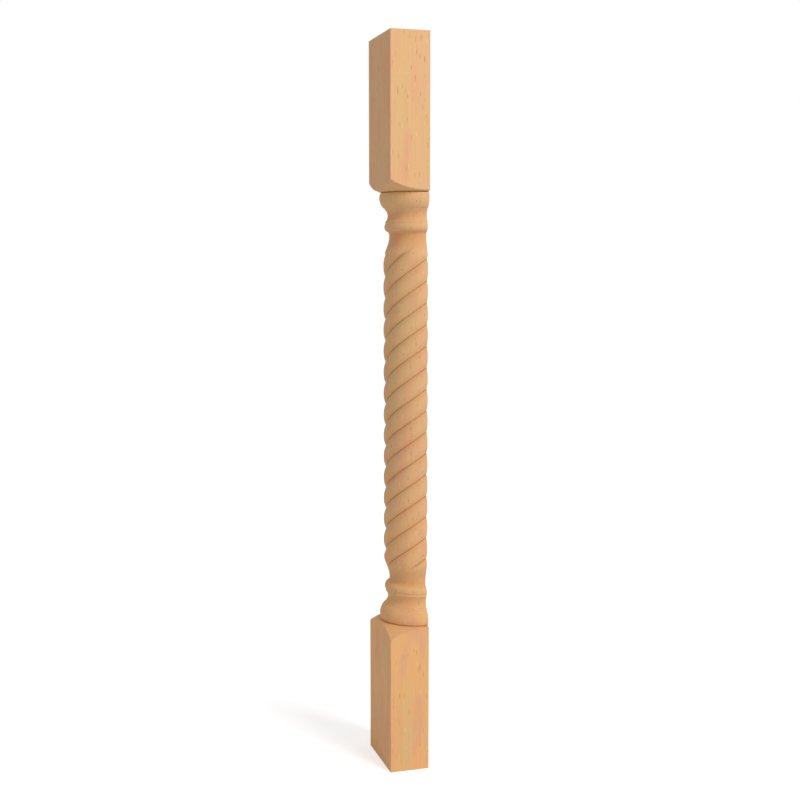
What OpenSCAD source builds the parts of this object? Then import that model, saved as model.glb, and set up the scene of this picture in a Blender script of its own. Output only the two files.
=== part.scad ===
// Half newel post: a square post, turned and rope-carved between its two
// blocks, then sawn lengthwise so that its flat back goes against a wall.
// The carved front faces -Y, the sawn back faces +Y, and the post stands on
// its foot at z = 0 with the origin under the middle of its overall box.

/* [Overall] */
// Height of the whole post
post_h = 867; // [780:1:1100]
// Width across the full square face
post_w = 90; // [75:0.5:120]
// Thickness from the front face to the sawn back
post_t = 47.5; // [40:0.5:58]

/* [Square blocks] */
// Length of the upper block, to the quirk at its turned end
top_block_h = 179.5; // [120:0.5:240]
// Length of the lower block, to the quirk at its turned end
bottom_block_h = 175.5; // [120:0.5:240]
// How far the rounded shoulder falls from the quirk to each corner edge
shoulder_drop = 13.3; // [6:0.1:18]
// Radius of the shoulder's curve
shoulder_r = 60; // [35:1:120]
// Flat planed off the two front edges of the blocks
edge_ease = 0.8; // [0.2:0.1:3]

/* [Turned mouldings] */
// Width of the quirk that parts the big bead from the block
quirk_w = 0.8; // [0.4:0.1:3]
// Depth of the quirk below the face of the blank
quirk_inset = 4.7; // [3:0.1:8]
// Distance of the big bead's middle from the block
big_bead_at = 6.2; // [4:0.1:12]
// Radius of the big bead's roll
big_bead_r = 16; // [12:0.1:19]
// Depth of the big bead's crown below the face of the blank
big_bead_inset = 1.7; // [0:0.1:4]
// Distance of the cove's middle from the block
cove_at = 27; // [24:0.1:31]
// Radius of the cove
cove_r = 10; // [7:0.1:13]
// Depth of the cove's floor below the face of the blank
cove_inset = 11.5; // [9:0.1:14]
// Depth of the lips beside the cove below the face of the blank
lip_inset = 8.7; // [7:0.1:10]
// Distance of the small bead's middle from the block
small_bead_at = 39.8; // [36:0.1:44]
// Radius of the small bead's roll
small_bead_r = 6.2; // [5:0.1:7.5]
// Depth of the small bead's crown below the face of the blank
small_bead_inset = 7.6; // [5:0.1:8.4]
// Depth of the neck below the face of the blank
neck_inset = 13.4; // [11:0.1:18]
// Hollow between the small bead and the neck
neck_fillet = 4; // [1:0.1:8]
// Distance of the neck's far end, where the shaft starts to swell
neck_end = 51.5; // [50:0.5:66]

// Flat steps around each roll, hollow and shoulder curve of the outline
roll_steps = 40; // [24:4:48]

/* [Rope shaft] */
// Depth of the strands' crests below the face of the blank
rope_inset = 6.2; // [4:0.1:9]
// Depth of the grooves between strands
groove_depth = 4.5; // [2:0.1:6]
// Number of strands around the whole rope
strands = 6; // [3:1:8]
// Rise of one strand in a full turn, right-handed
twist_lead = 152; // [110:1:220]
// Length over which the shaft swells from neck to rope
flare_len = 28; // [10:0.5:40]
// Mesh steps from one strand to the next
steps_per_strand = 8; // [4:2:8]

/* [Hidden] */
$fn = 96;

// Front face, back face and turning axis
front_y = -post_t / 2;
back_y = post_t / 2;
axis_y = front_y + post_w / 2;
back_from_axis = back_y - axis_y;

// How far shapes that join or cut run past one another
lap = 1;

// Radii of the turned work, each measured in from the face of the blank
blank_r = post_w / 2;
corner_r = blank_r * sqrt(2);
quirk_r = blank_r - quirk_inset;
big_bead_x = blank_r - big_bead_inset - big_bead_r;
cove_x = blank_r - cove_inset + cove_r;
lip_r = blank_r - lip_inset;
small_bead_x = blank_r - small_bead_inset - small_bead_r;
neck_r = blank_r - neck_inset;
rope_r = blank_r - rope_inset;

// Centre of the shoulder's arc, which runs from the quirk down to the block's corners
shoulder_run = corner_r - quirk_r;
shoulder_chord = norm([shoulder_run, shoulder_drop]);
shoulder_reach = sqrt(shoulder_r ^ 2 - shoulder_chord ^ 2 / 4) / shoulder_chord;
shoulder_x = quirk_r + shoulder_run / 2 - shoulder_reach * shoulder_drop;
shoulder_depth = shoulder_drop / 2 + shoulder_reach * shoulder_run;

// Hollow that blends the small bead into the neck, tangent to both
fillet_x = neck_r + neck_fillet;
fillet_reach = small_bead_r + neck_fillet;
fillet_at = small_bead_at + sqrt(fillet_reach ^ 2 - (fillet_x - small_bead_x) ^ 2);
fillet_start_r = small_bead_x + (fillet_x - small_bead_x) * small_bead_r / fillet_reach;

// The turned mouldings end in the neck, and the rope shaft is let into them there
neck_joint = (fillet_at + neck_end) / 2;

// How much smaller the shaft is than the neck around it, and how far the hollow
// is cut past the neck, so that no two surfaces only just touch
joint_clear = 0.1;

// Rope mesh: its steps run with the twist, so that every groove is a clean edge
rope_z0 = bottom_block_h + neck_joint - lap;
rope_z1 = post_h - top_block_h - neck_joint + lap;
rope_mid_z = (bottom_block_h + post_h - top_block_h) / 2;
back_angle = asin(back_from_axis / rope_r);
rope_sweep = 180 + 2 * back_angle;
rope_cols = round(rope_sweep * strands * steps_per_strand / 360);
rope_rows = round((rope_z1 - rope_z0) / (twist_lead * rope_sweep / rope_cols / 360));

// Smooth rise from 0 to 1 as t goes from 0 to 1
function ease(t) = let (u = min(max(t, 0), 1)) u * u * (3 - 2 * u);

// Outline of the shaft before the strands are cut: neck, swell, rope, swell, neck
function shaft_r(z) =
    let (from_end = min(z - bottom_block_h, post_h - top_block_h - z))
    from_end < neck_joint
        ? neck_r - joint_clear
        : neck_r - joint_clear
          + (rope_r - neck_r + joint_clear) * ease((from_end - neck_end) / flare_len);

// Surface of the strands at angle a and height z: round crests, sharp grooves
function strand_r(a, z) =
    let (
        turns = (z - rope_mid_z) / twist_lead - (a + 90) / 360,
        part = turns * strands,
        off = part - round(part)
    )
    rope_r - groove_depth * (2 * off) ^ 2;

// A point of the rope's skin; the two end columns lie in the sawn back
function rope_point(col, z) =
    let (
        a = -180 - back_angle + rope_sweep * col / rope_cols,
        r = min(shaft_r(z), strand_r(a, z)),
        half_chord = sqrt(r ^ 2 - back_from_axis ^ 2)
    )
    col == 0 ? [-half_chord, back_from_axis, z]
    : col == rope_cols ? [half_chord, back_from_axis, z]
    : [r * cos(a), r * sin(a), z];

// Block outline in plan, square at the sawn back and eased at the front
module block_plan() {
    polygon([
        [-blank_r, back_y],
        [-blank_r, front_y + edge_ease],
        [-blank_r + edge_ease, front_y],
        [blank_r - edge_ease, front_y],
        [blank_r, front_y + edge_ease],
        [blank_r, back_y]
    ]);
}

// A circle of the turned outline, in flat steps so that every cut is a plain cone
module roll(r) {
    polygon([
        for (step = [0 : roll_steps - 1])
            let (a = 360 * step / roll_steps) r * [cos(a), sin(a)]
    ]);
}

// Half section of a block's envelope, which rounds its corners down to the turning
module shoulder_section(block_h) {
    square([corner_r + lap, block_h - shoulder_drop - lap]);
    square([quirk_r, block_h]);
    intersection() {
        translate([shoulder_x, block_h - shoulder_depth])
            roll(shoulder_r);
        square([corner_r + lap, block_h]);
    }
}

// One square block standing on z = 0, with its shoulder at the top
module block(block_h) {
    intersection() {
        linear_extrude(block_h)
            block_plan();
        translate([0, axis_y, 0])
            rotate_extrude()
                shoulder_section(block_h);
    }
}

// Half section of the mouldings between a block, at y = 0, and the neck
module moulding_section() {
    square([quirk_r, quirk_w + lap]);
    difference() {
        union() {
            translate([0, quirk_w])
                square([lip_r, small_bead_at - quirk_w]);
            intersection() {
                translate([big_bead_x, big_bead_at])
                    roll(big_bead_r);
                translate([0, quirk_w])
                    square([blank_r, small_bead_at]);
            }
        }
        translate([cove_x, cove_at])
            roll(cove_r);
    }
    translate([0, small_bead_at - small_bead_r])
        square([small_bead_x, 2 * small_bead_r]);
    translate([small_bead_x, small_bead_at])
        roll(small_bead_r);
    difference() {
        translate([0, small_bead_at])
            square([fillet_start_r, fillet_at - small_bead_at]);
        translate([fillet_x - joint_clear, fillet_at])
            roll(neck_fillet);
    }
    square([neck_r, neck_joint]);
}

// The turned mouldings of one end, cut off at the sawn back
module mouldings() {
    intersection() {
        translate([0, axis_y, 0])
            rotate_extrude()
                moulding_section();
        translate([-blank_r, front_y, 0])
            cube([post_w, post_t, neck_joint]);
    }
}

// A block with its mouldings above it
module post_end(block_h) {
    block(block_h);
    translate([0, 0, block_h])
        mouldings();
}

// The rope-carved shaft between the two necks
module rope_shaft() {
    cols = rope_cols + 1;
    rows = rope_rows + 1;
    points = [
        for (row = [0 : rope_rows], col = [0 : rope_cols])
            rope_point(col, rope_z0 + (rope_z1 - rope_z0) * row / rope_rows)
    ];
    skin = [
        for (row = [0 : rope_rows - 1], col = [0 : rope_cols - 1])
            let (p = row * cols + col)
            each [[p, p + cols + 1, p + 1], [p, p + cols, p + cols + 1]]
    ];
    back = [
        for (row = [0 : rope_rows - 1])
            let (p = row * cols)
            each [[p, p + rope_cols, p + cols + rope_cols], [p, p + cols + rope_cols, p + cols]]
    ];
    foot = [[for (col = [0 : rope_cols]) col]];
    head = [[for (col = [rope_cols : -1 : 0]) rope_rows * cols + col]];
    translate([0, axis_y, 0])
        polyhedron(points = points, faces = concat(skin, back, foot, head));
}

// The whole post, one piece of wood
module half_newel_post() {
    color("burlywood") {
        post_end(bottom_block_h);
        translate([0, 0, post_h])
            mirror([0, 0, 1])
                post_end(top_block_h);
        rope_shaft();
    }
}

half_newel_post();
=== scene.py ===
"""A half newel post in beech, turned, rope-carved and sawn flat at the back.

The post is made in a joiner's order. A turned end is spun from its half section for each block,
a twisted shaft is swept between them, and saw planes then cut the block faces and the flat back.
"""

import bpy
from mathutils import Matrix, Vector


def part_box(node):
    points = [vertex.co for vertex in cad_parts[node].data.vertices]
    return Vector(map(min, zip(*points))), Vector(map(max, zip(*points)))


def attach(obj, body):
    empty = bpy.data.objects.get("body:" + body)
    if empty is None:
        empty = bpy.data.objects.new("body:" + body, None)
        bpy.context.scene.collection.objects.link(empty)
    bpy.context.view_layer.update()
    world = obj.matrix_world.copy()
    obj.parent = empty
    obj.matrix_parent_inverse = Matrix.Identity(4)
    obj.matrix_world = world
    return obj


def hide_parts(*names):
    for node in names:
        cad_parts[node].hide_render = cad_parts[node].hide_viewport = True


bl_info = {
    "name": "Half Newel Post",
    "version": (1, 0, 0),
    "blender": (4, 5, 0),
    "location": "3D View > Sidebar > Newel",
    "description": "Turns, rope-carves and saws a half newel post, and stands it in a plain studio",
    "category": "Add Mesh",
}

from math import acos, asin, atan2, cos, hypot, pi, radians, sin, sqrt, tau

import bmesh
import bpy
from bpy.props import FloatProperty, FloatVectorProperty, IntProperty, PointerProperty
from mathutils import Matrix, Vector

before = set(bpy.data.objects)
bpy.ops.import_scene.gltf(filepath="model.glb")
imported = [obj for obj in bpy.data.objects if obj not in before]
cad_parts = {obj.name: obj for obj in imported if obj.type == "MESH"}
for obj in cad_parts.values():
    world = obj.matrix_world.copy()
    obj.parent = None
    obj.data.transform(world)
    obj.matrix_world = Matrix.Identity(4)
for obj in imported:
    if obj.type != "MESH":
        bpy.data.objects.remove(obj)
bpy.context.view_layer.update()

NODE = "half_newel_post"
BODY = "root"
PIECE = "half_newel_post_carved"

# Distances in metres: points this near are welded, and cuts and checks are this exact
WELD = 1e-5
CUT_GAP = 2e-6
TINY = 1e-6

# How deep the colour of a sawn face reaches, and the span in which the floor's lift grows
SKIN = 0.00015
LIFT_SPAN = (0.5, 2.2)

# How far the shoulder's arc runs on past the corner edge, so that the faces cut through it
PAST_CORNER = (1.05, 1.08)

# Shifts that give each pattern of the wood its own place in the noise
STRAW_SHIFT = (0.31, 0.17, 0.53)
LONG_FLECK_SHIFT = (0.11, 0.23, 0.71)
PALE_FLECK_SHIFT = (0.37, 0.41, 0.19)
PITH_SHIFT = (0.052, -0.17, 0.0)

WHITE = (1.0, 1.0, 1.0, 1.0)
FLOOR_PAINT = (0.86, 0.86, 0.86, 1.0)

LOW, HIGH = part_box(NODE)
HEIGHT = HIGH.z - LOW.z
HALF_WIDTH = (HIGH.x - LOW.x) / 2
AXIS = Vector((0, LOW.y + HALF_WIDTH, 0))
UP = Vector((0, 0, 1))


def length(name, description, default):
    """A size in metres."""
    return FloatProperty(
        name=name, description=description, default=default, min=0, unit="LENGTH", precision=4
    )


def count(name, description, default):
    """A whole number of steps."""
    return IntProperty(name=name, description=description, default=default, min=1)


def colour(name, description, default):
    """A linear colour."""
    return FloatVectorProperty(
        name=name, description=description, default=default, min=0, max=1, subtype="COLOR"
    )


def place(name, description, default):
    """A point in metres."""
    return FloatVectorProperty(
        name=name, description=description, default=default, subtype="TRANSLATION", precision=4
    )


def share(name, description, default):
    """A plain number."""
    return FloatProperty(name=name, description=description, default=default, min=0)


class TurningSizes(bpy.types.PropertyGroup):
    """Sizes of the square blocks and the mouldings next to them."""

    top_block: length("Upper block", "Length of the upper block, to its quirk", 0.1795)
    bottom_block: length("Lower block", "Length of the lower block, to its quirk", 0.1755)
    shoulder_drop: length("Shoulder fall", "Fall from the quirk to each corner edge", 0.0133)
    shoulder_r: length("Shoulder radius", "Radius of the shoulder's curve", 0.06)
    arris: length("Arris", "How far the blocks' edges are rounded over", 0.0009)
    quirk_width: length("Quirk width", "Width of the cut between block and big bead", 0.0008)
    quirk_inset: length("Quirk depth", "Depth of the quirk below the block's faces", 0.0047)
    big_bead_at: length("Big bead place", "From the quirk to the big bead's middle", 0.0062)
    big_bead_r: length("Big bead radius", "Radius of the big bead's roll", 0.016)
    big_bead_inset: length("Big bead inset", "Depth of its crown below the faces", 0.0017)
    cove_at: length("Cove place", "From the quirk to the cove's middle", 0.027)
    cove_r: length("Cove radius", "Radius of the cove", 0.01)
    cove_inset: length("Cove inset", "Depth of the cove's floor below the faces", 0.0115)
    lip_inset: length("Lip inset", "Depth of the lips beside the cove", 0.0087)
    small_bead_at: length("Small bead place", "From the quirk to the small bead's middle", 0.0398)
    small_bead_r: length("Small bead radius", "Radius of the small bead's roll", 0.0062)
    small_bead_inset: length("Small bead inset", "Depth of its crown below the faces", 0.0076)
    neck_inset: length("Neck inset", "Depth of the neck below the faces", 0.0134)
    neck_fillet: length("Neck fillet", "Hollow between the small bead and the neck", 0.004)
    neck_end: length("Neck end", "From the quirk to where the shaft starts to swell", 0.0515)
    arc_step: length("Arc step", "Longest step along a turned curve", 0.0009)


class RopeSizes(bpy.types.PropertyGroup):
    """Sizes of the rope-carved shaft."""

    inset: length("Strand inset", "Depth of the strands' crests below the block's faces", 0.0062)
    groove_depth: length("Groove depth", "Depth of the grooves between the strands", 0.0045)
    lead: length("Lead", "Rise of one strand in a full right-handed turn", 0.152)
    flare: length("Flare", "Length over which the shaft swells from neck to rope", 0.028)
    blend: length("Run-out blend", "How softly a groove runs out into the flare", 0.001)
    strands: count("Strands", "Strands around the whole rope", 6)
    strand_steps: count("Strand steps", "Mesh columns in one strand", 24)


class BeechFinish(bpy.types.PropertyGroup):
    """Colours and grain of the bare beech, and the painted shade laid into its hollows, grooves and
    quirks.
    """

    ground: colour("Ground", "Main colour of the sanded wood", (0.79, 0.46, 0.222))
    pink: colour("Pink streak", "Colour of the redder bands", (0.8, 0.41, 0.215))
    straw: colour("Straw streak", "Colour of the yellower bands", (0.77, 0.48, 0.215))
    fibre: colour("Fibre", "Colour of the fine darker fibres", (0.56, 0.29, 0.125))
    fleck: colour("Fleck", "Colour of the short ray flecks", (0.36, 0.155, 0.055))
    pale_fleck: colour("Pale fleck", "Colour of the silvery flecks", (0.94, 0.68, 0.42))
    warm: colour("Warm wood", "Colour that the wood warms to towards the foot", (0.86, 0.46, 0.19))
    # Hollow: painted warm shade over the turned hollows and the neck, deeper as they sink
    hollow: colour("Hollow", "Colour of the turned hollows", (0.7, 0.26, 0.09))
    # Groove: painted crease shade, partly a real dark burnish, drawn as a thin line along the
    # rope's grooves and in the quirks
    groove: colour("Groove", "Colour rubbed into the cut grooves", (0.3, 0.125, 0.04))
    end_grain: colour("End grain", "Colour of the sawn ends", (0.55, 0.3, 0.14))
    ring: length("Growth ring", "Width of one growth ring", 0.0045)
    fleck_length: length("Fleck length", "Length of a ray fleck", 0.0055)
    roughness: share("Roughness", "Roughness of the sanded surface", 0.62)


class StudioSettings(bpy.types.PropertyGroup):
    """Camera, lamp and floor."""

    camera_place: place("Camera place", "Where the camera stands", (1.4179, -0.4318, 0.6082))
    camera_aim: place("Camera aim", "The point that the camera looks at", (-0.0001, 0.0016, 0.4427))
    lens: FloatProperty(
        name="Lens", description="Focal length", default=56.12, min=1, subtype="DISTANCE_CAMERA"
    )
    lamp_turn: FloatProperty(
        name="Lamp turn",
        description="Key lamp's turn from straight in front, towards the side face",
        default=radians(117),
        subtype="ANGLE",
    )
    lamp_distance: length("Lamp distance", "Key lamp's distance, level", 3.6)
    lamp_height: length("Lamp height", "Height of the key lamp", 2.9)
    lamp_size: length("Lamp size", "Width of the key lamp's soft box", 2.0)
    lamp_power: FloatProperty(
        name="Lamp power", description="Power of the key lamp", default=106, min=0, unit="POWER"
    )
    fill: share("Fill", "Brightness of the even light from all around", 0.45)
    floor_size: length("Floor size", "Width of the floor", 14)
    floor_glow: share("Floor glow", "How far the floor by the post is lifted to white", 0.52)
    far_glow: share("Far glow", "How far the floor is lifted to white at its far edge", 0.64)


# Outline of the turned work -------------------------------------------------------------------


def arc(centre, radius, start, end, step):
    """Points along an arc of a half section, as (distance from the axis, height)."""
    steps = max(2, round(abs(end - start) * radius / step))
    angles = [start + (end - start) * i / steps for i in range(steps + 1)]
    return [(centre[0] + radius * cos(a), centre[1] + radius * sin(a)) for a in angles]


def heading(centre, point):
    """Angle of a point seen from a centre."""
    return atan2(point[1] - centre[1], point[0] - centre[0])


def shoulder_arc(sizes):
    """The block's rounded shoulder, from its corner edge up to the quirk."""
    quirk_r = HALF_WIDTH - sizes.quirk_inset
    run = HALF_WIDTH * sqrt(2) - quirk_r
    chord = hypot(run, sizes.shoulder_drop)
    reach = sqrt(sizes.shoulder_r**2 - chord**2 / 4) / chord
    centre = (
        quirk_r + run / 2 - reach * sizes.shoulder_drop,
        -sizes.shoulder_drop / 2 - reach * run,
    )
    out, down = PAST_CORNER
    low = heading(centre, (quirk_r + run * out, -sizes.shoulder_drop * down))
    return arc(centre, sizes.shoulder_r, low, heading(centre, (quirk_r, 0)), sizes.arc_step)


def end_section(sizes, block):
    """Half section of one end, from the foot of its block to the neck; its quirk is at 0."""
    step = sizes.arc_step
    quirk_r = HALF_WIDTH - sizes.quirk_inset
    lip_r = HALF_WIDTH - sizes.lip_inset
    neck_r = HALF_WIDTH - sizes.neck_inset

    shoulder = shoulder_arc(sizes)
    section = [(shoulder[0][0], -block), *shoulder, (quirk_r, sizes.quirk_width)]

    big = (HALF_WIDTH - sizes.big_bead_inset - sizes.big_bead_r, sizes.big_bead_at)
    start = -asin((sizes.big_bead_at - sizes.quirk_width) / sizes.big_bead_r)
    section += arc(big, sizes.big_bead_r, start, acos((lip_r - big[0]) / sizes.big_bead_r), step)

    cove = (HALF_WIDTH - sizes.cove_inset + sizes.cove_r, sizes.cove_at)
    half_turn = acos((cove[0] - lip_r) / sizes.cove_r)
    section += arc(cove, sizes.cove_r, pi + half_turn, pi - half_turn, step)

    small = (HALF_WIDTH - sizes.small_bead_inset - sizes.small_bead_r, sizes.small_bead_at)
    hollow = neck_hollow(sizes)
    start = -acos((lip_r - small[0]) / sizes.small_bead_r)
    tangent = heading(small, hollow)
    section += arc(small, sizes.small_bead_r, start, tangent, step)
    section += arc(hollow, sizes.neck_fillet, pi + tangent, pi, step)[1:]
    section.append((neck_r, neck_joint(sizes)))
    return section


def neck_hollow(sizes):
    """Centre of the hollow that blends the small bead into the neck."""
    hollow_x = HALF_WIDTH - sizes.neck_inset + sizes.neck_fillet
    small_x = HALF_WIDTH - sizes.small_bead_inset - sizes.small_bead_r
    reach = sizes.small_bead_r + sizes.neck_fillet
    return (hollow_x, sizes.small_bead_at + sqrt(reach**2 - (hollow_x - small_x) ** 2))


def neck_joint(sizes):
    """Distance from the quirk to the middle of the plain neck."""
    return (neck_hollow(sizes)[1] + sizes.neck_end) / 2


# Turning, twisting and sawing -----------------------------------------------------------------


def on_axis(z):
    """Point of the turning axis at a height."""
    return AXIS + UP * (LOW.z + z)


def hollow_shade_share(sizes, radius):
    """Share of painted hollow shade: 0 at the lips of the turning and beyond, and 1 at the depth of
    the neck.
    """
    depth = (HALF_WIDTH - sizes.lip_inset - radius) / (sizes.neck_inset - sizes.lip_inset)
    return min(max(depth, 0), 1)


def spin_end(bm, sizes, section, columns, angle, layers):
    """Spins a half section, given as (radius, height), once round the axis from a start angle."""
    out = Vector((cos(angle), sin(angle), 0))
    verts = [bm.verts.new(on_axis(z) + out * r) for r, z in section]
    # The quirk's points get the painted crease shade, and each point gets its share of the painted
    # hollow shade
    for vert, (r, _) in zip(verts, section):
        vert[layers["groove"]] = float(abs(r - HALF_WIDTH + sizes.quirk_inset) < TINY)
        vert[layers["hollow"]] = hollow_shade_share(sizes, r)
    edges = [bm.edges.new(pair) for pair in zip(verts, verts[1:])]
    bmesh.ops.spin(
        bm,
        geom=verts + edges,
        cent=AXIS,
        axis=UP,
        angle=tau,
        steps=columns,
        use_merge=True,
        use_duplicate=False,
    )


def groove_share(column, strand_steps):
    """0 on a strand's crest and 1 at the groove beside it."""
    part = (column / strand_steps + 0.5) % 1 - 0.5
    return abs(2 * part)


def soft_min(a, b, blend):
    """The lower of two radii, rounded where they cross."""
    overlap = max(blend - abs(a - b), 0) / blend
    return min(a, b) - overlap**2 * blend / 4


def ease(t):
    """Smooth rise from 0 to 1."""
    t = min(max(t, 0), 1)
    return t * t * (3 - 2 * t)


def sweep_rope(bm, sizes, rope, bottom, top, layers):
    """Sweeps the rope's cross-section up the axis and turns its ends down to the necks.

    Returns the angles at which its columns meet the lower and upper necks.
    """
    columns = rope.strands * rope.strand_steps
    rope_r = HALF_WIDTH - rope.inset
    neck_r = HALF_WIDTH - sizes.neck_inset
    middle = (sizes.bottom_block + HEIGHT - sizes.top_block) / 2
    twist = tau * (top - bottom) / rope.lead
    rows = round(twist * columns / tau)
    start = -pi / 2 + tau * (bottom - middle) / rope.lead

    place = Matrix.Translation(on_axis(bottom)) @ Matrix.Rotation(start, 4, "Z")
    ring = bmesh.ops.create_circle(bm, segments=columns, radius=rope_r, matrix=place)["verts"]
    turn_back = Matrix.Rotation(-start, 3, "Z")
    for vert in ring:
        spoke = turn_back @ (vert.co - on_axis(bottom))
        column = columns * atan2(spoke.y, spoke.x) / tau
        dip = groove_share(column, rope.strand_steps)
        # Each point's groove share places the painted crease shade along the grooves
        vert[layers["groove"]] = dip
        vert.co -= (vert.co - on_axis(bottom)) * (rope.groove_depth * dip**2 / rope_r)
    ring_edges = list({edge for vert in ring for edge in vert.link_edges})
    before = set(bm.verts)
    bmesh.ops.spin(
        bm,
        geom=ring + ring_edges,
        cent=AXIS,
        axis=UP,
        dvec=UP * ((top - bottom) / rows),
        angle=twist,
        steps=rows,
        use_duplicate=False,
    )
    for vert in [v for v in bm.verts if v not in before] + ring:
        centre = on_axis(vert.co.z - LOW.z)
        from_end = min(centre.z - LOW.z - sizes.bottom_block, HIGH.z - sizes.top_block - centre.z)
        swell = ease((from_end - sizes.neck_end) / rope.flare)
        shaft_r = neck_r + (rope_r - neck_r) * swell
        cut_r = (vert.co - centre).length
        turned_r = soft_min(cut_r, shaft_r, rope.blend)
        vert.co = centre + (vert.co - centre) * (turned_r / cut_r)
        # The painted crease shade fades where a groove runs out, and the painted hollow shade
        # follows the swelling shaft
        bare = max(shaft_r - cut_r, 0) / rope.groove_depth
        vert[layers["groove"]] *= min(bare * 2, 1)
        vert[layers["hollow"]] = hollow_shade_share(sizes, shaft_r)
    return start, start + twist


def saw(bm, point, outward):
    """Cuts off all that lies beyond a plane and closes the cut."""
    cut = bmesh.ops.bisect_plane(
        bm,
        geom=bm.verts[:] + bm.edges[:] + bm.faces[:],
        dist=CUT_GAP,
        plane_co=point,
        plane_no=outward,
        clear_outer=True,
    )
    rim = [item for item in cut["geom_cut"] if isinstance(item, bmesh.types.BMEdge)]
    bmesh.ops.holes_fill(bm, edges=rim, sides=0)


def round_edge(bm, corner, first, second, size, cuts=3):
    """Planes an edge between two faces with outward normals first and second down to a round."""
    inner = corner - (first + second) * size
    for i in range(cuts):
        a = pi / 2 * (i + 0.5) / cuts
        outward = first * cos(a) + second * sin(a)
        saw(bm, inner + outward * size, outward)


def close_ends(bm):
    """Caps the open foot and head of the spun ends."""
    bmesh.ops.holes_fill(bm, edges=[e for e in bm.edges if e.is_boundary], sides=0)


def saw_block_faces(bm, sizes):
    """Saws the three square faces and the flat back, and eases their edges."""
    left, right, front = Vector((-1, 0, 0)), Vector((1, 0, 0)), Vector((0, -1, 0))
    back, down = Vector((0, 1, 0)), Vector((0, 0, -1))
    saw(bm, HIGH, back)
    saw(bm, LOW, front)
    saw(bm, LOW, left)
    saw(bm, HIGH, right)
    for side in (left, right, front):
        for end in (LOW, HIGH):
            edge = Vector((HIGH.x if side.x > 0 else LOW.x, LOW.y, end.z))
            round_edge(bm, edge, side, down if end is LOW else UP, sizes.arris / 2, cuts=1)
    round_edge(bm, Vector((LOW.x, LOW.y, 0)), left, front, sizes.arris)
    round_edge(bm, Vector((HIGH.x, LOW.y, 0)), right, front, sizes.arris)


def carve(sizes, rope):
    """The whole post as one closed mesh."""
    bm = bmesh.new()
    # Vertex masks for the painted shade: groove for the crease line in the grooves and quirks,
    # hollow for the turned hollows
    for name in ("groove", "hollow"):
        bm.verts.layers.float.new(name)
    layers = bm.verts.layers.float
    bottom = sizes.bottom_block + neck_joint(sizes)
    top = HEIGHT - sizes.top_block - neck_joint(sizes)
    columns = rope.strands * rope.strand_steps
    low_angle, high_angle = sweep_rope(bm, sizes, rope, bottom, top, layers)
    lower = [(r, sizes.bottom_block + d) for r, d in end_section(sizes, sizes.bottom_block)]
    upper = [(r, HEIGHT - sizes.top_block - d) for r, d in end_section(sizes, sizes.top_block)]
    spin_end(bm, sizes, lower, columns, low_angle, layers)
    spin_end(bm, sizes, upper, columns, high_angle, layers)
    bmesh.ops.remove_doubles(bm, verts=bm.verts[:], dist=WELD)
    close_ends(bm)
    saw_block_faces(bm, sizes)
    bmesh.ops.remove_doubles(bm, verts=bm.verts[:], dist=CUT_GAP)
    bmesh.ops.dissolve_degenerate(bm, edges=bm.edges[:], dist=TINY)
    bmesh.ops.recalc_face_normals(bm, faces=bm.faces[:])
    return bm


def soften(bm, crease=radians(24)):
    """Smooth shading on curved skin, and hard edges where two faces meet at an angle."""
    for face in bm.faces:
        face.smooth = len(face.verts) <= 4
    for edge in bm.edges:
        edge.smooth = edge.is_manifold and edge.calc_face_angle(0) < crease


# Shader writing -------------------------------------------------------------------------------


class Value:
    """A shader socket that sums can be written with; each operator adds its own Math node."""

    def __init__(self, shader, socket):
        self.shader = shader
        self.socket = socket

    def math(self, operation, *others, clamp=False):
        settings = {"operation": operation, "use_clamp": clamp}
        return self.shader.add("ShaderNodeMath", settings, dict(enumerate((self, *others))))

    def __add__(self, other):
        return self.math("ADD", other)

    __radd__ = __add__

    def __mul__(self, other):
        return self.math("MULTIPLY", other)

    __rmul__ = __mul__

    def __sub__(self, other):
        return self.math("SUBTRACT", other)

    def __rsub__(self, other):
        return self.shader.number(other).math("SUBTRACT", self)

    def __truediv__(self, other):
        return self.math("DIVIDE", other)

    def __gt__(self, other):
        return self.math("GREATER_THAN", other)

    def __lt__(self, other):
        return self.math("LESS_THAN", other)

    def between(self, low, high):
        """0 at low and 1 at high, with a smooth rise; low may be the greater."""
        settings = {"interpolation_type": "SMOOTHSTEP"}
        return self.shader.add("ShaderNodeMapRange", settings, {0: self, 1: low, 2: high})


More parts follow.
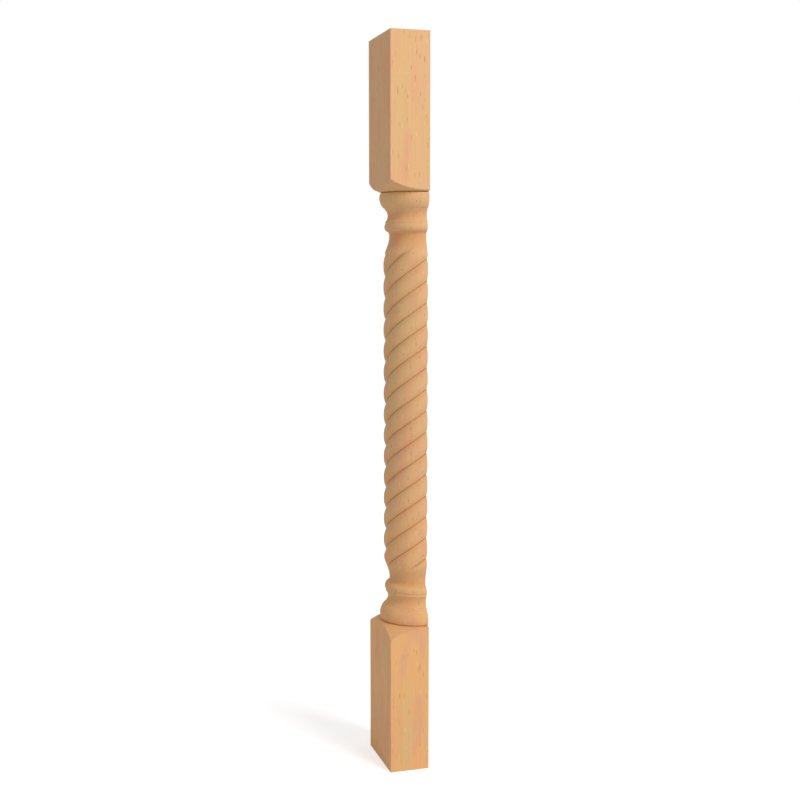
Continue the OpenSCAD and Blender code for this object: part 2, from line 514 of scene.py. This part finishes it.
class Shader:
    """Adds nodes to a tree, and lays them out in a row."""

    def __init__(self, tree):
        self.tree = tree
        self.tree.nodes.clear()

    def add(self, kind, settings=None, inputs=None, output=0):
        """Adds a node, gives it its settings and then its inputs, and returns one output."""
        node = self.tree.nodes.new(kind)
        node.location = (180 * (len(self.tree.nodes) % 12), -260 * (len(self.tree.nodes) // 12))
        for name, value in (settings or {}).items():
            setattr(node, name, value)
        for key, value in (inputs or {}).items():
            if isinstance(value, Value):
                self.tree.links.new(value.socket, node.inputs[key])
            else:
                node.inputs[key].default_value = value
        return Value(self, node.outputs[output])

    def finish(self, kind, surface):
        """Ends the tree with an output node."""
        output = self.tree.nodes.new(kind)
        self.tree.links.new(surface.socket, output.inputs["Surface"])

    def number(self, value):
        """A plain number as a socket."""
        return self.add("ShaderNodeMath", {"operation": "ADD"}, {0: value, 1: 0.0})

    def vector(self, operation, first, second):
        """Vector maths on two vectors."""
        return self.add("ShaderNodeVectorMath", {"operation": operation}, {0: first, 1: second})

    def split(self, vector):
        """The three parts of a vector."""
        first = self.add("ShaderNodeSeparateXYZ", None, {0: vector})
        outputs = first.socket.node.outputs
        return first, Value(self, outputs[1]), Value(self, outputs[2])

    def mix(self, first, second, factor):
        """Blends two colours; sockets 0, 6 and 7 are the colour blend's factor and ends."""
        settings = {"data_type": "RGBA", "clamp_factor": True}
        return self.add("ShaderNodeMix", settings, {0: factor, 6: first, 7: second}, output=2)

    def noise(self, vector, detail=2.0, roughness=0.5):
        """Soft noise from 0 to 1, at the scale of the coordinates."""
        inputs = {"Vector": vector, "Scale": 1.0, "Detail": detail, "Roughness": roughness}
        return self.add("ShaderNodeTexNoise", None, inputs)

    def stretch(self, vector, across, along):
        """Coordinates in which a pattern is 1/across wide and 1/along long, along the grain."""
        return self.vector("MULTIPLY", vector, (across, across, along))


def opaque(rgb):
    """A colour with full alpha."""
    return (*rgb, 1.0)


def fleck_mask(shader, grain, across, along, radius, kept):
    """Short dashes along the grain, one in each kept cell."""
    cells = shader.stretch(grain, across, along)
    distance = shader.add("ShaderNodeTexVoronoi", None, {"Vector": cells, "Scale": 1.0})
    hue = Value(shader, distance.socket.node.outputs["Color"])
    chance, strength, _ = shader.split(hue)
    return distance.between(radius, radius * 0.55) * (chance < kept) * (0.35 + strength * 0.65)


def beech(finish):
    """Bare sanded beech: straight fine grain, faint rings, pink and straw bands, ray flecks, with
    painted shade in the turned hollows and a thin line of painted crease shade, partly burnish, in
    the grooves and quirks.
    """
    material = bpy.data.materials.new("beech_sanded")
    material.use_nodes = True
    shader = Shader(material.node_tree)
    place = shader.add("ShaderNodeTexCoord", None, None, output=3)
    _, depth, height = shader.split(place)

    drift = shader.add("ShaderNodeTexNoise", None, {
        "Vector": shader.stretch(place, 9.0, 2.2), "Scale": 1.0, "Detail": 1.0,
    }, output=1)
    drift = shader.vector("MULTIPLY", shader.vector("SUBTRACT", drift, (0.5, 0.5, 0.5)),
                          (0.008, 0.008, 0.0))
    grain = shader.vector("ADD", place, drift)

    pith = shader.vector("ADD", grain, PITH_SHIFT)
    from_pith = shader.add("ShaderNodeVectorMath", {"operation": "LENGTH"}, {
        0: shader.vector("MULTIPLY", pith, (1.0, 1.0, 0.0)),
    }, output=1)
    wander = shader.noise(shader.stretch(grain, 30.0, 1.5), detail=1.0)
    year = (from_pith / finish.ring + wander * 1.4).math("FRACT")
    late_wood = year.between(0.3, 0.95) * year.between(1.0, 0.96)

    fibres = shader.noise(shader.stretch(grain, 950.0, 13.0), detail=3.0, roughness=0.62)
    hairs = shader.noise(shader.stretch(grain, 2400.0, 70.0), detail=2.0, roughness=0.6)
    pink = shader.noise(shader.stretch(grain, 46.0, 14.0), detail=2.5).between(0.46, 0.64)
    straw_place = shader.vector("ADD", grain, STRAW_SHIFT)
    straw = shader.noise(shader.stretch(straw_place, 40.0, 11.0), detail=2.5).between(0.48, 0.66)

    along = 0.22 / finish.fleck_length
    small_flecks = fleck_mask(shader, grain, along * 8.0, along, 0.17, 0.9)
    other_place = shader.vector("ADD", grain, LONG_FLECK_SHIFT)
    long_flecks = fleck_mask(shader, other_place, along * 5.2, along * 0.6, 0.11, 0.7)
    flecks = small_flecks.math("MAXIMUM", long_flecks)
    pale_place = shader.vector("ADD", grain, PALE_FLECK_SHIFT)
    pale_flecks = fleck_mask(shader, pale_place, along * 6.0, along, 0.17, 0.9)
    streaks = shader.noise(shader.stretch(straw_place, 210.0, 7.0), detail=3.0)

    wood = opaque(finish.ground)
    for tint, amount in (
        (finish.warm, height.between(0.4, 0.12)),
        (finish.pink, pink * 0.85),
        (finish.straw, straw * 0.8),
        (finish.fibre, streaks.between(0.5, 0.75) * 0.12),
        (finish.fibre, fibres.between(0.5, 0.8) * 0.14),
        (finish.fibre, hairs.between(0.55, 0.8) * 0.12),
        (finish.fibre, late_wood * 0.05),
        (finish.pale_fleck, pale_flecks * 0.55),
        (finish.fleck, flecks * 0.75),
    ):
        wood = shader.mix(wood, opaque(tint), amount)

    ends = (height < LOW.z + SKIN).math("MAXIMUM", height > HIGH.z - SKIN)
    pores = shader.noise(shader.stretch(place, 2600.0, 2600.0), detail=2.0).between(0.45, 0.7)
    end_wood = shader.mix(opaque(finish.end_grain), opaque(finish.fibre), late_wood * 0.75)
    end_wood = shader.mix(end_wood, opaque(finish.fleck), pores * 0.3)
    wood = shader.mix(wood, end_wood, ends * 0.8)

    sawn = depth > HIGH.y - SKIN
    kerf_place = shader.vector("MULTIPLY", place, (14.0, 1.0, 620.0))
    kerf = shader.noise(kerf_place, detail=3.0, roughness=0.65)
    wood = shader.mix(wood, opaque(finish.fibre), kerf.between(0.45, 0.8) * sawn * 0.35)

    turned = 1.0 - sawn
    # Painted shade: the turned hollows and the neck darken to a warm brown as they sink
    hollow = shader.add("ShaderNodeAttribute", {"attribute_name": "hollow"}, None, output=2)
    wood = shader.mix(wood, opaque(finish.hollow), hollow * turned * 0.4)
    # Painted crease shade, partly a dark burnish: a thin dark line along the rope's grooves and in
    # the quirks
    dip = shader.add("ShaderNodeAttribute", {"attribute_name": "groove"}, None, output=2)
    crease_shade_line = dip.between(0.88, 1.0) * turned
    wood = shader.mix(wood, opaque(finish.groove), crease_shade_line * (0.35 + fibres * 0.5) * 0.75)

    relief = fibres * 0.5 + hairs * 0.35 - flecks * 0.35 + kerf * sawn * 1.6
    bump = shader.add("ShaderNodeBump", None, {
        "Strength": 0.35, "Distance": 0.00018, "Height": relief,
    })
    gloss = finish.roughness + (fibres - 0.5) * 0.16 + ends * 0.12 + sawn * 0.1
    surface = shader.add("ShaderNodeBsdfPrincipled", None, {
        "Base Color": wood, "Roughness": gloss, "Normal": bump, "Specular IOR Level": 0.2,
    })
    shader.finish("ShaderNodeOutputMaterial", surface)
    return material


# Studio ---------------------------------------------------------------------------------------


def seen_directly(shader):
    """1 for rays from the camera, and for those that glossy or clear surfaces send on."""
    path = shader.add("ShaderNodeLightPath")
    rays = [Value(shader, path.socket.node.outputs[name]) for name in
            ("Is Camera Ray", "Is Glossy Ray", "Is Transmission Ray")]
    return rays[0].math("MAXIMUM", rays[1]).math("MAXIMUM", rays[2])


def floor_material(studio):
    """Matt white, lifted to plain white for the camera, and less beside the post's shadow."""
    material = bpy.data.materials.new("studio_floor")
    material.use_nodes = True
    shader = Shader(material.node_tree)
    paint = shader.add("ShaderNodeBsdfDiffuse", None, {"Color": FLOOR_PAINT})
    place = shader.add("ShaderNodeTexCoord", None, None, output=3)
    away = shader.add("ShaderNodeVectorMath", {"operation": "LENGTH"}, {0: place}, output=1)
    beside = opaque([studio.floor_glow] * 3)
    beyond = opaque([studio.far_glow] * 3)
    glow = shader.add("ShaderNodeEmission", None, {
        "Color": shader.mix(beside, beyond, away.between(*LIFT_SPAN)),
        "Strength": seen_directly(shader),
    })
    both = shader.add("ShaderNodeAddShader", None, {0: paint, 1: glow})
    shader.finish("ShaderNodeOutputMaterial", both)
    return material


def light_world(scene, studio):
    """Even light from all around, behind which the camera sees plain white."""
    world = bpy.data.worlds.new("studio_surround")
    world.use_nodes = True
    shader = Shader(world.node_tree)
    seen = seen_directly(shader)
    strength = studio.fill + seen * (1.0 - studio.fill)
    sky = shader.add("ShaderNodeBackground", None, {
        "Color": WHITE, "Strength": strength,
    })
    shader.finish("ShaderNodeOutputWorld", sky)
    scene.world = world


def compass(turn, distance, height):
    """A place seen from the post: turn 0 is in front, and a quarter turn is its +X side."""
    return Vector((sin(turn) * distance, -cos(turn) * distance, height))


def aim(obj, place, target):
    """Puts a camera or lamp at a place and points it at a target."""
    obj.location = place
    obj.rotation_euler = (target - place).to_track_quat("-Z", "Y").to_euler()


def link(obj):
    """Adds an object to the scene."""
    bpy.context.scene.collection.objects.link(obj)
    return obj


class NEWEL_OT_carve_post(bpy.types.Operator):
    """Turn, rope-carve and saw the half newel post, and finish it as bare beech"""

    bl_idname = "newel.carve_post"
    bl_label = "Carve Half Newel Post"

    def execute(self, context):
        scene = context.scene
        bm = carve(scene.newel_turning, scene.newel_rope)
        open_edges = sum(not edge.is_manifold for edge in bm.edges)
        if open_edges:
            raise RuntimeError(f"the carved post has {open_edges} open edges")
        soften(bm)
        mesh = bpy.data.meshes.new(PIECE)
        bm.to_mesh(mesh)
        bm.free()
        piece = link(bpy.data.objects.new(PIECE, mesh))
        mesh.materials.append(beech(scene.newel_beech))
        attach(piece, BODY)
        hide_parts(NODE)
        return {"FINISHED"}


class NEWEL_OT_set_studio(bpy.types.Operator):
    """Stand a white floor, a soft key lamp, even fill light and the camera round the post"""

    bl_idname = "newel.set_studio"
    bl_label = "Set Studio"

    def execute(self, context):
        scene = context.scene
        studio = scene.newel_studio
        bm = bmesh.new()
        bmesh.ops.create_grid(bm, x_segments=1, y_segments=1, size=studio.floor_size / 2)
        mesh = bpy.data.meshes.new("studio_floor")
        bm.to_mesh(mesh)
        bm.free()
        mesh.materials.append(floor_material(studio))
        floor = link(bpy.data.objects.new("studio_floor", mesh))

        lamp = bpy.data.lights.new("key_lamp", "AREA")
        lamp.shape = "DISK"
        lamp.size = studio.lamp_size
        lamp.energy = studio.lamp_power
        key = link(bpy.data.objects.new("key_lamp", lamp))
        middle = Vector((0, 0, HEIGHT / 2))
        aim(key, compass(studio.lamp_turn, studio.lamp_distance, studio.lamp_height), middle)
        light_world(scene, studio)

        lens = bpy.data.cameras.new("camera")
        lens.lens = studio.lens
        camera = link(bpy.data.objects.new("camera", lens))
        aim(camera, Vector(studio.camera_place), Vector(studio.camera_aim))
        scene.camera = camera
        return {"FINISHED"}


class NEWEL_PT_post(bpy.types.Panel):
    """Sizes, finish and studio of the half newel post"""

    bl_idname = "NEWEL_PT_post"
    bl_label = "Half Newel Post"
    bl_space_type = "VIEW_3D"
    bl_region_type = "UI"
    bl_category = "Newel"

    def draw(self, context):
        layout = self.layout
        layout.use_property_split = True
        for group, (_, label) in GROUPS.items():
            settings = getattr(context.scene, group)
            box = layout.box()
            box.label(text=label)
            for name in settings.bl_rna.properties.keys():
                if name not in ("rna_type", "name"):
                    box.prop(settings, name)
        layout.operator(NEWEL_OT_carve_post.bl_idname)
        layout.operator(NEWEL_OT_set_studio.bl_idname)


GROUPS = {
    "newel_turning": (TurningSizes, "Turning"),
    "newel_rope": (RopeSizes, "Rope"),
    "newel_beech": (BeechFinish, "Beech"),
    "newel_studio": (StudioSettings, "Studio"),
}
CLASSES = (NEWEL_OT_carve_post, NEWEL_OT_set_studio, NEWEL_PT_post)


def register():
    for name, (group, _) in GROUPS.items():
        bpy.utils.register_class(group)
        setattr(bpy.types.Scene, name, PointerProperty(type=group))
    for cls in CLASSES:
        bpy.utils.register_class(cls)


def unregister():
    for cls in reversed(CLASSES):
        bpy.utils.unregister_class(cls)
    for name, (group, _) in reversed(GROUPS.items()):
        delattr(bpy.types.Scene, name)
        bpy.utils.unregister_class(group)


def main():
    register()
    bpy.ops.newel.carve_post()
    bpy.ops.newel.set_studio()
    bpy.context.view_layer.update()
    bpy.context.scene.view_settings.view_transform = "Standard"


if __name__ == "__main__":
    main()
